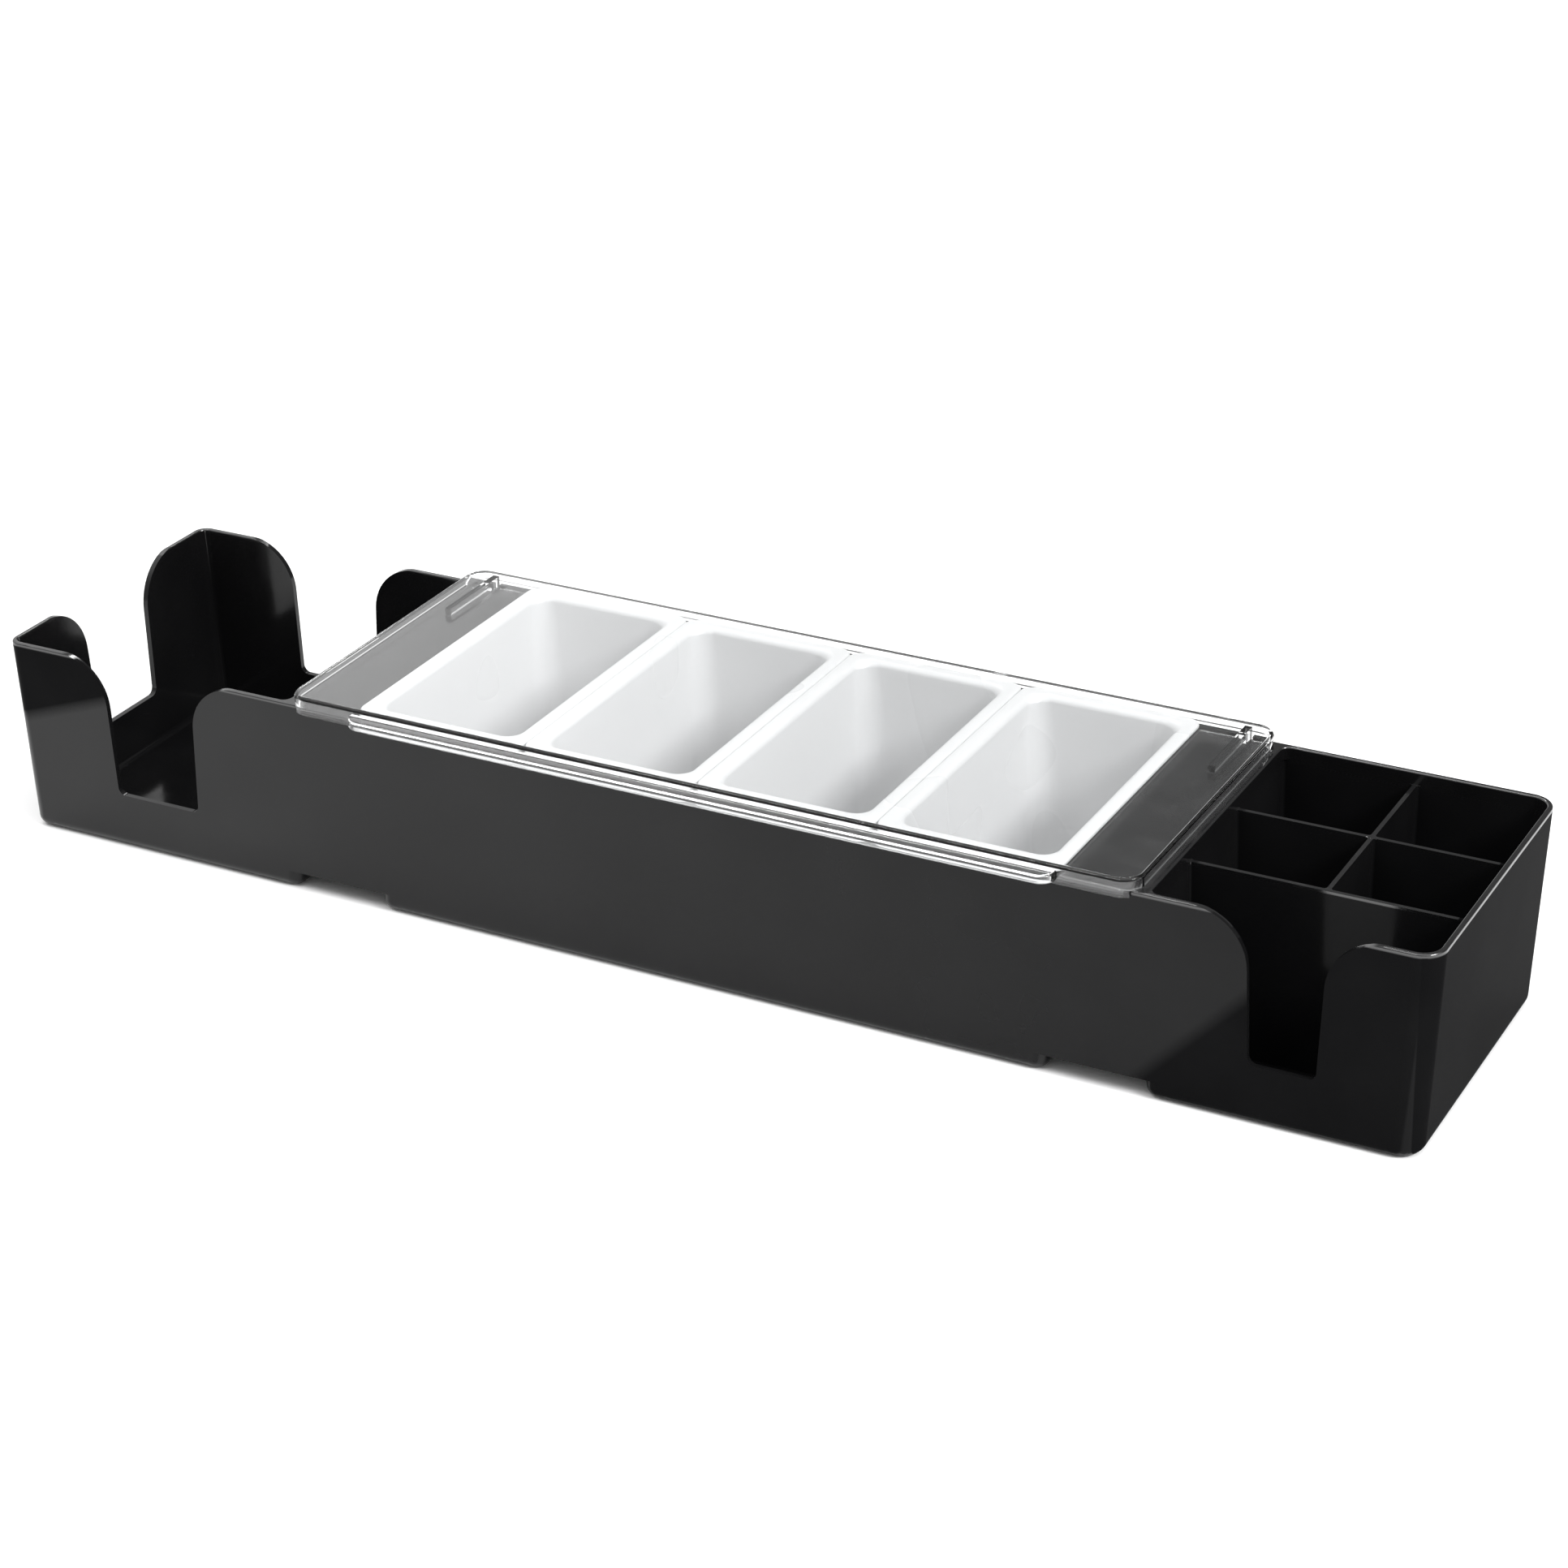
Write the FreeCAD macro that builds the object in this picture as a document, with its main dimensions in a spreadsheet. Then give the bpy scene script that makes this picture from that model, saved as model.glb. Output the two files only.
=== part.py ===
"""Condiment and napkin holder for a bar counter.

A black one-piece tray carries three tubs in a row: a napkin tub with finger cut-outs in three walls,
a long tub that four white inserts hang in, and a straw tub with dividers and a pocket for coasters.
The tubs stand on their own feet and are joined at the rim by two decks. A clear lid with a grip along
its front turns on two pins at the back and covers the inserts.

Frame: millimetres, X along the row, Y to the back, Z up, origin below the middle of the row.
"""
import FreeCAD, Part
import os
import re
import Sketcher
from collections import namedtuple

SIZES = {
    # the tray as a whole
    "overall_length": 640.0,
    "overall_depth": 142.8,
    "rim_height": 88.0,
    "wall": 2.4,
    "floor_thickness": 2.8,
    "end_lean": 3.6,
    "gap_lean": 2.4,
    "side_lean": 1.0,
    "west_corner": 6.0,
    "east_corner": 10.0,
    "foot_corner": 5.6,
    "foot_round": 5.0,
    "rim_round": 0.8,
    # the row of tubs
    "napkin_tub_length": 145.4,
    "straw_tub_length": 114.9,
    "deck_span": 35.8,
    "deck_thickness": 2.6,
    "skirt_lift": 8.2,
    "inner_corner": 3.6,
    "floor_round": 3.0,
    # finger cut-outs
    "cutout_height": 25.5,
    "cutout_flare": 23.0,
    "cutout_round": 3.5,
    "cutout_lean": 1.4,
    "napkin_cutout": 44.5,
    "straw_cutout": 30.0,
    # dividers of the straw tub
    "divider": 1.8,
    "divider_drop": 5.5,
    "back_divider_place": 19.2,
    "front_divider_place": 29.1,
    "divider_corner": 1.2,
    # the inserts
    "insert_pitch": 78.6,
    "insert_play": 0.2,
    "insert_depth": 141.2,
    "insert_flange": 2.0,
    "insert_height": 78.0,
    "insert_wall": 1.4,
    "insert_land": 4.6,
    "insert_roll": 2.6,
    "insert_lean": 5.0,
    "insert_flange_corner": 5.5,
    "insert_corner": 10.0,
    "insert_floor_round": 5.0,
    # the lid
    "lid_inset": 1.0,
    "lid_play": 0.8,
    "lid_wall": 2.0,
    "lid_plate": 2.2,
    "lid_rise": 5.4,
    "lid_gap": 0.3,
    "lid_corner": 9.0,
    "lid_edge_round": 1.6,
    "skirt_drop": 2.5,
    "grip_length": 314.0,
    "grip_reach": 6.8,
    "grip_thickness": 4.0,
    "grip_corner": 6.4,
    "grip_round": 1.0,
    # the lid's arms and hinge
    "arm_inset": 12.4,
    "arm_width": 3.0,
    "arm_front": 31.0,
    "pin_inset": 4.0,
    "pin_drop": 4.0,
    "pin_diameter": 3.0,
    "pin_length": 10.0,
    "pin_play": 0.08,
    "lug_radius": 3.4,
    "slot_play": 1.1,
    "slot_length": 9.9,
    "socket_wall": 2.4,
    "socket_depth": 3.9,
    "socket_mouth": 2.5,
    "swing_play": 0.54,
}

# places that follow from the sizes, as expressions over the sheet
DERIVED = {
    "half_length": "overall_length / 2",
    "half_depth": "overall_depth / 2",
    "napkin_east": "-half_length + napkin_tub_length",
    "middle_west": "napkin_east + deck_span",
    "straw_west": "half_length - straw_tub_length",
    "middle_east": "straw_west - deck_span",
    "napkin_centre": "-half_length + napkin_tub_length / 2",
    "middle_centre": "(middle_west + middle_east) / 2",
    "straw_centre": "half_length - straw_tub_length / 2",
    "deck_underside": "rim_height - deck_thickness",
    "floor_share": "(rim_height - floor_thickness) / rim_height",
    "skirt_share": "(rim_height - skirt_lift) / rim_height",
    "deck_share": "deck_thickness / rim_height",
    "divider_share": "divider_drop / rim_height",
    "divider_top": "rim_height - divider_drop",
    "east_inner_corner": "east_corner - wall",
    "lid_underside": "rim_height + lid_gap",
    "lid_top": "rim_height + lid_rise",
    "plate_underside": "lid_top - lid_plate",
    "lid_half_length": "(middle_east - middle_west) / 2 + deck_span - lid_inset",
    "lid_half_depth": "half_depth + lid_play + lid_wall",
    "skirt_bottom": "rim_height - skirt_drop",
    "arm_place": "lid_half_length - arm_inset",
    "pin_y": "half_depth - pin_inset",
    "pin_z": "rim_height - pin_drop",
    "slot_half": "arm_width / 2 + slot_play",
    "slot_front": "half_depth - slot_length",
    "slot_bottom": "pin_z - lug_radius - slot_play",
    "socket_reach": "slot_half + socket_depth",
    "swing_radius": "sqrt(pin_inset * pin_inset + pin_drop * pin_drop) + swing_play",
    "insert_half_length": "(insert_pitch - insert_play) / 2",
    "insert_half_depth": "insert_depth / 2",
    "insert_step": "insert_land + insert_roll",
}

INSERT_COUNT = 4
MARGIN = 5.0

doc = FreeCAD.newDocument("CondimentHolder")
sheet = doc.addObject("Spreadsheet::Sheet", "Sizes")


def fill_sheet():
    """Write every driving size and every derived place into the sheet, one row each."""
    row = 1
    for alias, size in SIZES.items():
        sheet.set(f"A{row}", alias)
        sheet.set(f"B{row}", str(size))
        sheet.setAlias(f"B{row}", alias)
        row += 1
    for alias, rule in DERIVED.items():
        sheet.set(f"A{row}", alias)
        sheet.set(f"B{row}", "=" + rule)
        sheet.setAlias(f"B{row}", alias)
        row += 1
    doc.recompute()


def bound(rule):
    """Return a rule over the sheet's aliases as an expression that any object can use."""
    def name(match):
        word = match.group()
        return "Sizes." + word if word in SIZES or word in DERIVED else word

    return re.sub("[a-z_]+", name, rule)


def value(rule):
    """Return the present number of a rule over the sheet's aliases."""
    return float(sheet.evalExpression(bound(rule)))


def bind(thing, path, rule):
    """Tie a property of an object to a rule over the sheet."""
    thing.setExpression(path, bound(rule))


def new_body(label):
    """Return an empty body with its label."""
    body = doc.addObject("PartDesign::Body", label)
    body.Label = label
    return body


def new_sketch(body, name, plane, shift="0"):
    """Return an empty sketch on one of the body's own origin planes, moved along the plane's normal."""
    sketch = body.newObject("Sketcher::SketchObject", name)
    origin = [item for item in body.Origin.OriginFeatures if item.Role == plane][0]
    sketch.AttachmentSupport = [(origin, "")]
    sketch.MapMode = "FlatFace"
    bind(sketch, ".AttachmentOffset.Base.z", shift)
    return sketch


def dimension(sketch, kind, places, rule):
    """Add one dimension that follows a rule over the sheet."""
    index = sketch.addConstraint(Sketcher.Constraint(kind, *places, value(rule)))
    sketch.setExpression(f"Constraints[{index}]", bound(rule))


def place_point(sketch, item, point, across, along):
    """Hold a point of a sketch at its two coordinates."""
    dimension(sketch, "DistanceX", (-1, 1, item, point), across)
    dimension(sketch, "DistanceY", (-1, 1, item, point), along)


def line(start, end):
    """Return a straight sketch edge."""
    return Part.LineSegment(FreeCAD.Vector(*start, 0), FreeCAD.Vector(*end, 0))


def arc(centre, radius, start, end):
    """Return a round sketch edge between two angles in degrees, counted anticlockwise."""
    circle = Part.Circle(FreeCAD.Vector(*centre, 0), FreeCAD.Vector(0, 0, 1), radius)
    turn = FreeCAD.Units.Quantity("1 deg").getValueAs("rad").Value
    return Part.ArcOfCircle(circle, start * turn, end * turn)


def rectangle(body, name, plane, shift, west, east, south, north):
    """Return a sketch of a plain rectangle whose four sides follow rules."""
    sketch = new_sketch(body, name, plane, shift)
    x0, x1, y0, y1 = (value(rule) for rule in (west, east, south, north))
    corners = [(x0, y0), (x1, y0), (x1, y1), (x0, y1)]
    sketch.addGeometry([line(corners[i], corners[(i + 1) % 4]) for i in range(4)], False)
    for side in range(4):
        sketch.addConstraint(Sketcher.Constraint("Coincident", side, 2, (side + 1) % 4, 1))
        sketch.addConstraint(Sketcher.Constraint("Horizontal" if side % 2 == 0 else "Vertical", side))
    place_point(sketch, 0, 1, west, south)
    place_point(sketch, 2, 1, east, north)
    return sketch


def round_rectangle(body, name, shift, west, east, south, north, radii):
    """Return a level sketch of a rectangle with round corners.

    radii holds the rules of the four corners: south-west, south-east, north-east and north-west.
    """
    sketch = new_sketch(body, name, "XY_Plane", shift)
    x0, x1, y0, y1 = (value(rule) for rule in (west, east, south, north))
    sw, se, ne, nw = (value(rule) for rule in radii)
    sketch.addGeometry([
        line((x0 + sw, y0), (x1 - se, y0)),
        arc((x1 - se, y0 + se), se, 270, 360),
        line((x1, y0 + se), (x1, y1 - ne)),
        arc((x1 - ne, y1 - ne), ne, 0, 90),
        line((x1 - ne, y1), (x0 + nw, y1)),
        arc((x0 + nw, y1 - nw), nw, 90, 180),
        line((x0, y1 - nw), (x0, y0 + sw)),
        arc((x0 + sw, y0 + sw), sw, 180, 270),
    ], False)
    for edge in range(8):
        sketch.addConstraint(Sketcher.Constraint("Tangent", edge, 2, (edge + 1) % 8, 1))
    for side, kind in ((0, "Horizontal"), (2, "Vertical"), (4, "Horizontal"), (6, "Vertical")):
        sketch.addConstraint(Sketcher.Constraint(kind, side))
    dimension(sketch, "DistanceY", (-1, 1, 0, 1), south)
    dimension(sketch, "DistanceX", (-1, 1, 2, 1), east)
    dimension(sketch, "DistanceY", (-1, 1, 4, 1), north)
    dimension(sketch, "DistanceX", (-1, 1, 6, 1), west)
    for edge, rule in ((7, radii[0]), (1, radii[1]), (3, radii[2]), (5, radii[3])):
        dimension(sketch, "Radius", (edge,), rule)
    return sketch


def circle(body, name, plane, shift, across, along, radius):
    """Return a sketch of one circle."""
    sketch = new_sketch(body, name, plane, shift)
    middle = FreeCAD.Vector(value(across), value(along), 0)
    sketch.addGeometry(Part.Circle(middle, FreeCAD.Vector(0, 0, 1), value(radius)), False)
    place_point(sketch, 0, 3, across, along)
    dimension(sketch, "Radius", (0,), radius)
    return sketch


def cutout_outline(body, name, plane, shift, centre, width):
    """Return the outline of a finger cut-out: a slot with flared shoulders and round lower corners."""
    sketch = new_sketch(body, name, plane, shift)
    middle, half = value(centre), value(width) / 2
    rim, flare = value("rim_height"), value("cutout_flare")
    low, small, lean = value("cutout_height"), value("cutout_round"), value("cutout_lean")
    top = rim + MARGIN
    west_flare, east_flare = middle - half - flare, middle + half + flare
    west_low, east_low = middle - half + lean + small, middle + half - lean - small
    sketch.addGeometry([
        line((east_flare, top), (west_flare, top)),
        line((west_flare, top), (west_flare, rim)),
        arc((west_flare, rim - flare), flare, 0, 90),
        line((west_flare + flare, rim - flare), (west_low - small, low + small)),
        arc((west_low, low + small), small, 180, 270),
        line((west_low, low), (east_low, low)),
        arc((east_low, low + small), small, 270, 360),
        line((east_low + small, low + small), (east_flare - flare, rim - flare)),
        arc((east_flare, rim - flare), flare, 90, 180),
        line((east_flare, rim), (east_flare, top)),
    ], False)
    for first, first_end, second, second_end in ((0, 2, 1, 1), (1, 2, 2, 2), (8, 1, 9, 1), (9, 2, 0, 1)):
        sketch.addConstraint(Sketcher.Constraint("Coincident", first, first_end, second, second_end))
    for first, first_end, second, second_end in (
        (2, 1, 3, 1), (3, 2, 4, 1), (4, 2, 5, 1), (5, 2, 6, 1), (6, 2, 7, 1), (7, 2, 8, 2),
    ):
        sketch.addConstraint(Sketcher.Constraint("Tangent", first, first_end, second, second_end))
    for side, kind in ((0, "Horizontal"), (1, "Vertical"), (5, "Horizontal"), (9, "Vertical")):
        sketch.addConstraint(Sketcher.Constraint(kind, side))
    place_point(sketch, 2, 3, f"{centre} - {width} / 2 - cutout_flare", "rim_height - cutout_flare")
    place_point(sketch, 8, 3, f"{centre} + {width} / 2 + cutout_flare", "rim_height - cutout_flare")
    place_point(sketch, 4, 3, f"{centre} - {width} / 2 + cutout_lean + cutout_round",
                "cutout_height + cutout_round")
    dimension(sketch, "DistanceX", (-1, 1, 6, 3), f"{centre} + {width} / 2 - cutout_lean - cutout_round")
    dimension(sketch, "DistanceX", (-1, 1, 1, 1), f"{centre} - {width} / 2 - cutout_flare")
    dimension(sketch, "DistanceX", (-1, 1, 9, 1), f"{centre} + {width} / 2 + cutout_flare")
    dimension(sketch, "DistanceY", (-1, 1, 0, 1), f"rim_height + {MARGIN}")
    for edge in (2, 8):
        dimension(sketch, "Radius", (edge,), "cutout_flare")
    dimension(sketch, "Radius", (4,), "cutout_round")
    dimension(sketch, "Radius", (6,), "cutout_round")
    return sketch


def loft(body, name, kind, sketches):
    """Add or cut the straight-sided volume between two level outlines."""
    feature = body.newObject(kind, name)
    feature.Profile = sketches[0]
    feature.Sections = sketches[1:]
    feature.Ruled = True
    return finish(body, feature)


def pad(body, name, sketch, length, midplane=False):
    """Add material along the sketch's normal."""
    feature = body.newObject("PartDesign::Pad", name)
    feature.Profile = sketch
    feature.Midplane = midplane
    bind(feature, "Length", length)
    return finish(body, feature)


def pocket(body, name, sketch, length, midplane=False, reverse=False):
    """Cut material away behind the sketch, or ahead of it when reversed, and check that it cut."""
    before = len(body.Shape.Faces)
    feature = body.newObject("PartDesign::Pocket", name)
    feature.Profile = sketch
    feature.Midplane = midplane
    feature.Reversed = reverse
    bind(feature, "Length", length)
    finish(body, feature)
    if len(body.Shape.Faces) == before:
        raise RuntimeError(f"{name} cuts nothing")
    return feature


def fillet(body, name, edges, radius):
    """Round the named edges of the body's last feature."""
    base = body.Tip
    feature = body.newObject("PartDesign::Fillet", name)
    feature.Base = (base, edges)
    bind(feature, "Radius", radius)
    return finish(body, feature)


def finish(body, feature):
    """Make a feature the body's last one and compute it."""
    body.Tip = feature
    doc.recompute()
    if "Invalid" in feature.State or feature.Shape.isNull():
        raise RuntimeError(f"{feature.Label} failed: {feature.State}")
    return feature


def edges_where(body, test):
    """Return the names of the edges whose sampled points pass a test."""
    names = []
    for number, edge in enumerate(body.Shape.Edges, 1):
        first, last = edge.ParameterRange
        points = [edge.valueAt(first + (last - first) * step / 4) for step in range(5)]
        if test(points):
            names.append(f"Edge{number}")
    return names


def level_at(points, height):
    """Tell whether all points lie at one height."""
    return all(abs(point.z - height) < 0.01 for point in points)


def within(points, half_x, half_y):
    """Tell whether all points lie in a rectangle round the origin."""
    return all(abs(point.x) < half_x + 0.01 and abs(point.y) < half_y + 0.01 for point in points)


def tub_outline(body, name, level, share, tub, inset, radii):
    """Return the level outline of a tub, or of its inside, at a share of the walls' lean."""
    return round_rectangle(
        body, name, level,
        f"{tub.west} + {inset} + {tub.west_lean} * {share}",
        f"{tub.east} - {inset} - {tub.east_lean} * {share}",
        f"-half_depth + {inset} + side_lean * {share}",
        f"half_depth - {inset} - side_lean * {share}",
        radii,
    )


Tub = namedtuple("Tub", "name west east west_lean east_lean outer inner")
NAPKIN_TUB = Tub(
    "Napkin", "-half_length", "napkin_east", "end_lean", "gap_lean",
    ("west_corner", "foot_corner", "foot_corner", "west_corner"), ("inner_corner",) * 4,
)
MIDDLE_TUB = Tub(
    "Middle", "middle_west", "middle_east", "gap_lean", "gap_lean",
    ("foot_corner",) * 4, ("inner_corner",) * 4,
)
STRAW_TUB = Tub(
    "Straw", "straw_west", "half_length", "gap_lean", "end_lean",
    ("foot_corner", "east_corner", "east_corner", "foot_corner"),
    ("inner_corner", "east_inner_corner", "east_inner_corner", "inner_corner"),
)
WHOLE_ROW = Tub(
    "Row", "-half_length", "half_length", "end_lean", "end_lean",
    ("west_corner", "east_corner", "east_corner", "west_corner"), (),
)


def add_outside(body):
    """Raise the long block of the tray, set the three feet under it and round their lower edges."""
    block = [
        tub_outline(body, "RowRim", "rim_height", "0", WHOLE_ROW, "0", WHOLE_ROW.outer),
        tub_outline(body, "RowSkirt", "skirt_lift", "skirt_share", WHOLE_ROW, "0", WHOLE_ROW.outer),
    ]
    loft(body, "Row", "PartDesign::AdditiveLoft", block)
    for tub in (NAPKIN_TUB, MIDDLE_TUB, STRAW_TUB):
        foot = [
            tub_outline(body, f"{tub.name}Rim", "rim_height", "0", tub, "0", tub.outer),
            tub_outline(body, f"{tub.name}Foot", "0", "1", tub, "0", tub.outer),
        ]
        loft(body, f"{tub.name}Tub", "PartDesign::AdditiveLoft", foot)
    fillet(body, "FootRound", edges_where(body, lambda points: level_at(points, 0.0)), "foot_round")


def add_gaps(body):
    """Hollow the two gaps between the tubs from below, up to the decks."""
    for west, east in ((NAPKIN_TUB, MIDDLE_TUB), (MIDDLE_TUB, STRAW_TUB)):
        outlines = []
        for level, share in (("deck_underside", "deck_share"), ("skirt_lift", "skirt_share")):
            outlines.append(rectangle(
                body, f"{west.name}Gap{len(outlines)}", "XY_Plane", level,
                f"{west.east} - gap_lean * {share}",
                f"{east.west} + gap_lean * {share}",
                f"-half_depth + wall + side_lean * {share}",
                f"half_depth - wall - side_lean * {share}",
            ))
        loft(body, f"{west.name}Gap", "PartDesign::SubtractiveLoft", outlines)


def add_open_tubs(body):
    """Hollow the napkin tub and the middle tub, each with a rounded floor."""
    for tub in (NAPKIN_TUB, MIDDLE_TUB):
        hollow = [
            tub_outline(body, f"{tub.name}Mouth", "rim_height", "0", tub, "wall", tub.inner),
            tub_outline(body, f"{tub.name}Floor", "floor_thickness", "floor_share", tub, "wall", tub.inner),
        ]
        loft(body, f"{tub.name}Hollow", "PartDesign::SubtractiveLoft", hollow)
    floor = value("floor_thickness")
    fillet(body, "FloorRound", edges_where(body, lambda points: level_at(points, floor)), "floor_round")


def straw_cells():
    """Return the straw tub's compartments: name, west, east, south and north rules, and corner rules.

    The words in braces stand for the tub's leaning walls.
    """
    small, big = "divider_corner", "east_inner_corner"
    west_half = ("{west}", "straw_centre - divider / 2")
    east_half = ("straw_centre + divider / 2", "{east}")
    back_row = ("back_divider_place + divider / 2", "{north}")
    middle_row = ("-front_divider_place + divider / 2", "back_divider_place - divider / 2")
    front_row = ("{south}", "-front_divider_place - divider / 2")
    return (
        ("Pocket", ("{west}", "{east}") + front_row, (small, big, small, small)),
        ("MiddleWest", west_half + middle_row, (small,) * 4),
        ("MiddleEast", east_half + middle_row, (small,) * 4),
        ("BackWest", west_half + back_row, (small,) * 4),
        ("BackEast", east_half + back_row, (small, small, big, small)),
    )


def add_straw_tub(body):
    """Hollow the straw tub as one mouth above five compartments, so that the dividers stay."""
    tub = STRAW_TUB
    mouth = [
        tub_outline(body, "StrawMouth", "rim_height", "0", tub, "wall", tub.inner),
        tub_outline(body, "StrawShoulder", "divider_top", "divider_share", tub, "wall", tub.inner),
    ]
    loft(body, "StrawHollow", "PartDesign::SubtractiveLoft", mouth)
    for name, rules, radii in straw_cells():
        outlines = []
        for level, share in (("divider_top", "divider_share"), ("floor_thickness", "floor_share")):
            walls = {
                "west": f"{tub.west} + wall + {tub.west_lean} * {share}",
                "east": f"{tub.east} - wall - {tub.east_lean} * {share}",
                "south": f"-half_depth + wall + side_lean * {share}",
                "north": f"half_depth - wall - side_lean * {share}",
            }
            sides = [rule.format(**walls) for rule in rules]
            outlines.append(round_rectangle(body, f"{name}{len(outlines)}", level, *sides, radii))
        loft(body, f"{name}Cell", "PartDesign::SubtractiveLoft", outlines)


def round_rim(body):
    """Round every edge of the rim."""
    rim = value("rim_height")
    fillet(body, "RimRound", edges_where(body, lambda points: level_at(points, rim)), "rim_round")


def add_cutouts(body):
    """Cut the finger openings: front, back and end of the napkin tub, and the front of the straw tub."""
    sides = cutout_outline(body, "NapkinSides", "XZ_Plane", "0", "napkin_centre", "napkin_cutout")
    pocket(body, "NapkinSideCutouts", sides, f"overall_depth + {MARGIN}", midplane=True)
    end = cutout_outline(body, "NapkinEnd", "YZ_Plane", "napkin_centre", "0", "napkin_cutout")
    pocket(body, "NapkinEndCutout", end, "napkin_tub_length")
    front = cutout_outline(body, "StrawFront", "XZ_Plane", "half_depth - 2 * wall",
                           "straw_centre", "straw_cutout")
    pocket(body, "StrawFrontCutout", front, f"2 * wall + {MARGIN}", reverse=True)


def add_hinge_sockets(body):
    """Add the two sockets under the decks and cut the slots that the lid's lugs swing in."""
    for name, sign in (("West", "-"), ("East", "+")):
        centre = f"middle_centre {sign} arm_place"
        block = rectangle(
            body, f"{name}SocketOutline", "XY_Plane", "slot_bottom",
            f"{centre} - socket_reach - socket_wall", f"{centre} + socket_reach + socket_wall",
            "slot_front", "half_depth - wall / 2 - side_lean",
        )
        pad(body, f"{name}Socket", block, "deck_underside - slot_bottom + deck_thickness / 2")
        slot = rectangle(
            body, f"{name}SlotOutline", "XY_Plane", "rim_height",
            f"{centre} - slot_half", f"{centre} + slot_half", "slot_front", f"half_depth + {MARGIN}",
        )
        pocket(body, f"{name}Slot", slot, "rim_height - slot_bottom")
        bore = circle(body, f"{name}BoreOutline", "YZ_Plane", centre,
                      "pin_y", "pin_z", "pin_diameter / 2 + pin_play")
        pocket(body, f"{name}Bore", bore, "2 * socket_reach", midplane=True)
        mouth = rectangle(
            body, f"{name}MouthOutline", "XY_Plane", "rim_height",
            f"{centre} - socket_reach", f"{centre} + socket_reach",
            "pin_y - socket_mouth / 2", "pin_y + socket_mouth / 2",
        )
        pocket(body, f"{name}Mouth", mouth, "rim_height - pin_z")


def make_tray():
    """Build the one-piece tray."""
    body = new_body("caddy_tray")
    add_outside(body)
    add_gaps(body)
    add_open_tubs(body)
    add_straw_tub(body)
    round_rim(body)
    add_cutouts(body)
    add_hinge_sockets(body)
    return body


def insert_outline(body, name, level, lean, inset, radius):
    """Return a level outline of an insert, set in from its flange and leaned in."""
    return round_rectangle(
        body, name, level,
        f"-insert_half_length + ({inset}) + {lean}", f"insert_half_length - ({inset}) - {lean}",
        f"-insert_half_depth + ({inset}) + {lean}", f"insert_half_depth - ({inset}) - {lean}",
        (radius,) * 4,
    )


def make_insert(number):
    """Build one white insert: a tapered pan that hangs by its flange on the tray's rim."""
    body = new_body(f"insert_{number}")
    flange = insert_outline(body, "FlangeOutline", "rim_height", "0", "0", "insert_flange_corner")
    pad(body, "Flange", flange, "insert_flange")
    pan = "insert_step - insert_wall"
    outside = [
        insert_outline(body, "PanTop", "rim_height", "0", pan, "insert_corner + insert_wall"),
        insert_outline(body, "PanFoot", "rim_height - insert_height", "insert_lean", pan,
                       "insert_corner + insert_wall"),
    ]
    loft(body, "Pan", "PartDesign::AdditiveLoft", outside)
    top = "rim_height + insert_flange"
    low = "rim_height - insert_height + insert_wall"
    inside = [
        insert_outline(body, "MouthOutline", top, "0", "insert_step", "insert_corner"),
        insert_outline(body, "FloorOutline", low, "insert_lean", "insert_step", "insert_corner"),
    ]
    loft(body, "Hollow", "PartDesign::SubtractiveLoft", inside)
    floor, foot, rim = value(low), value("rim_height - insert_height"), value(top)
    half_x = value("insert_half_length - insert_step")
    half_y = value("insert_half_depth - insert_step")
    fillet(body, "FloorRound", edges_where(body, lambda points: level_at(points, floor)),
           "insert_floor_round")
    fillet(body, "FootRound", edges_where(body, lambda points: level_at(points, foot)),
           "insert_floor_round + insert_wall")
    mouth = edges_where(body, lambda points: level_at(points, rim) and within(points, half_x, half_y))
    fillet(body, "MouthRoll", mouth, "insert_roll")
    place = f"middle_centre + insert_pitch * {number - (INSERT_COUNT + 1) / 2}"
    bind(body, ".Placement.Base.x", place)
    return body


def add_lid_shell(body):
    """Build the lid's plate with its walls, longer at the front, where they hang over the tray."""
    def outline(name, level, inset, radius):
        return round_rectangle(
            body, name, level,
            f"middle_centre - lid_half_length + {inset}", f"middle_centre + lid_half_length - {inset}",
            f"-lid_half_depth + {inset}", f"lid_half_depth - {inset}", (radius,) * 4,
        )
    pad(body, "Shell", outline("ShellOutline", "skirt_bottom", "0", "lid_corner"), "lid_top - skirt_bottom")
    top = value("lid_top")
    fillet(body, "ShellEdge", edges_where(body, lambda points: level_at(points, top)), "lid_edge_round")
    inside = outline("InsideOutline", "plate_underside", "lid_wall", "lid_corner - lid_wall")
    pocket(body, "Inside", inside, "plate_underside - skirt_bottom")
    short = rectangle(
        body, "ShortWallOutline", "XY_Plane", "lid_underside",
        f"middle_centre - lid_half_length - {MARGIN}", f"middle_centre + lid_half_length + {MARGIN}",
        "-lid_half_depth + lid_wall", f"lid_half_depth + {MARGIN}",
    )
    pocket(body, "ShortWalls", short, "lid_underside - skirt_bottom")
    swing = circle(body, "SwingOutline", "YZ_Plane", "middle_centre", "pin_y", "pin_z", "swing_radius")
    pocket(body, "SwingRelief", swing, f"2 * lid_half_length + {MARGIN}", midplane=True)


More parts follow.
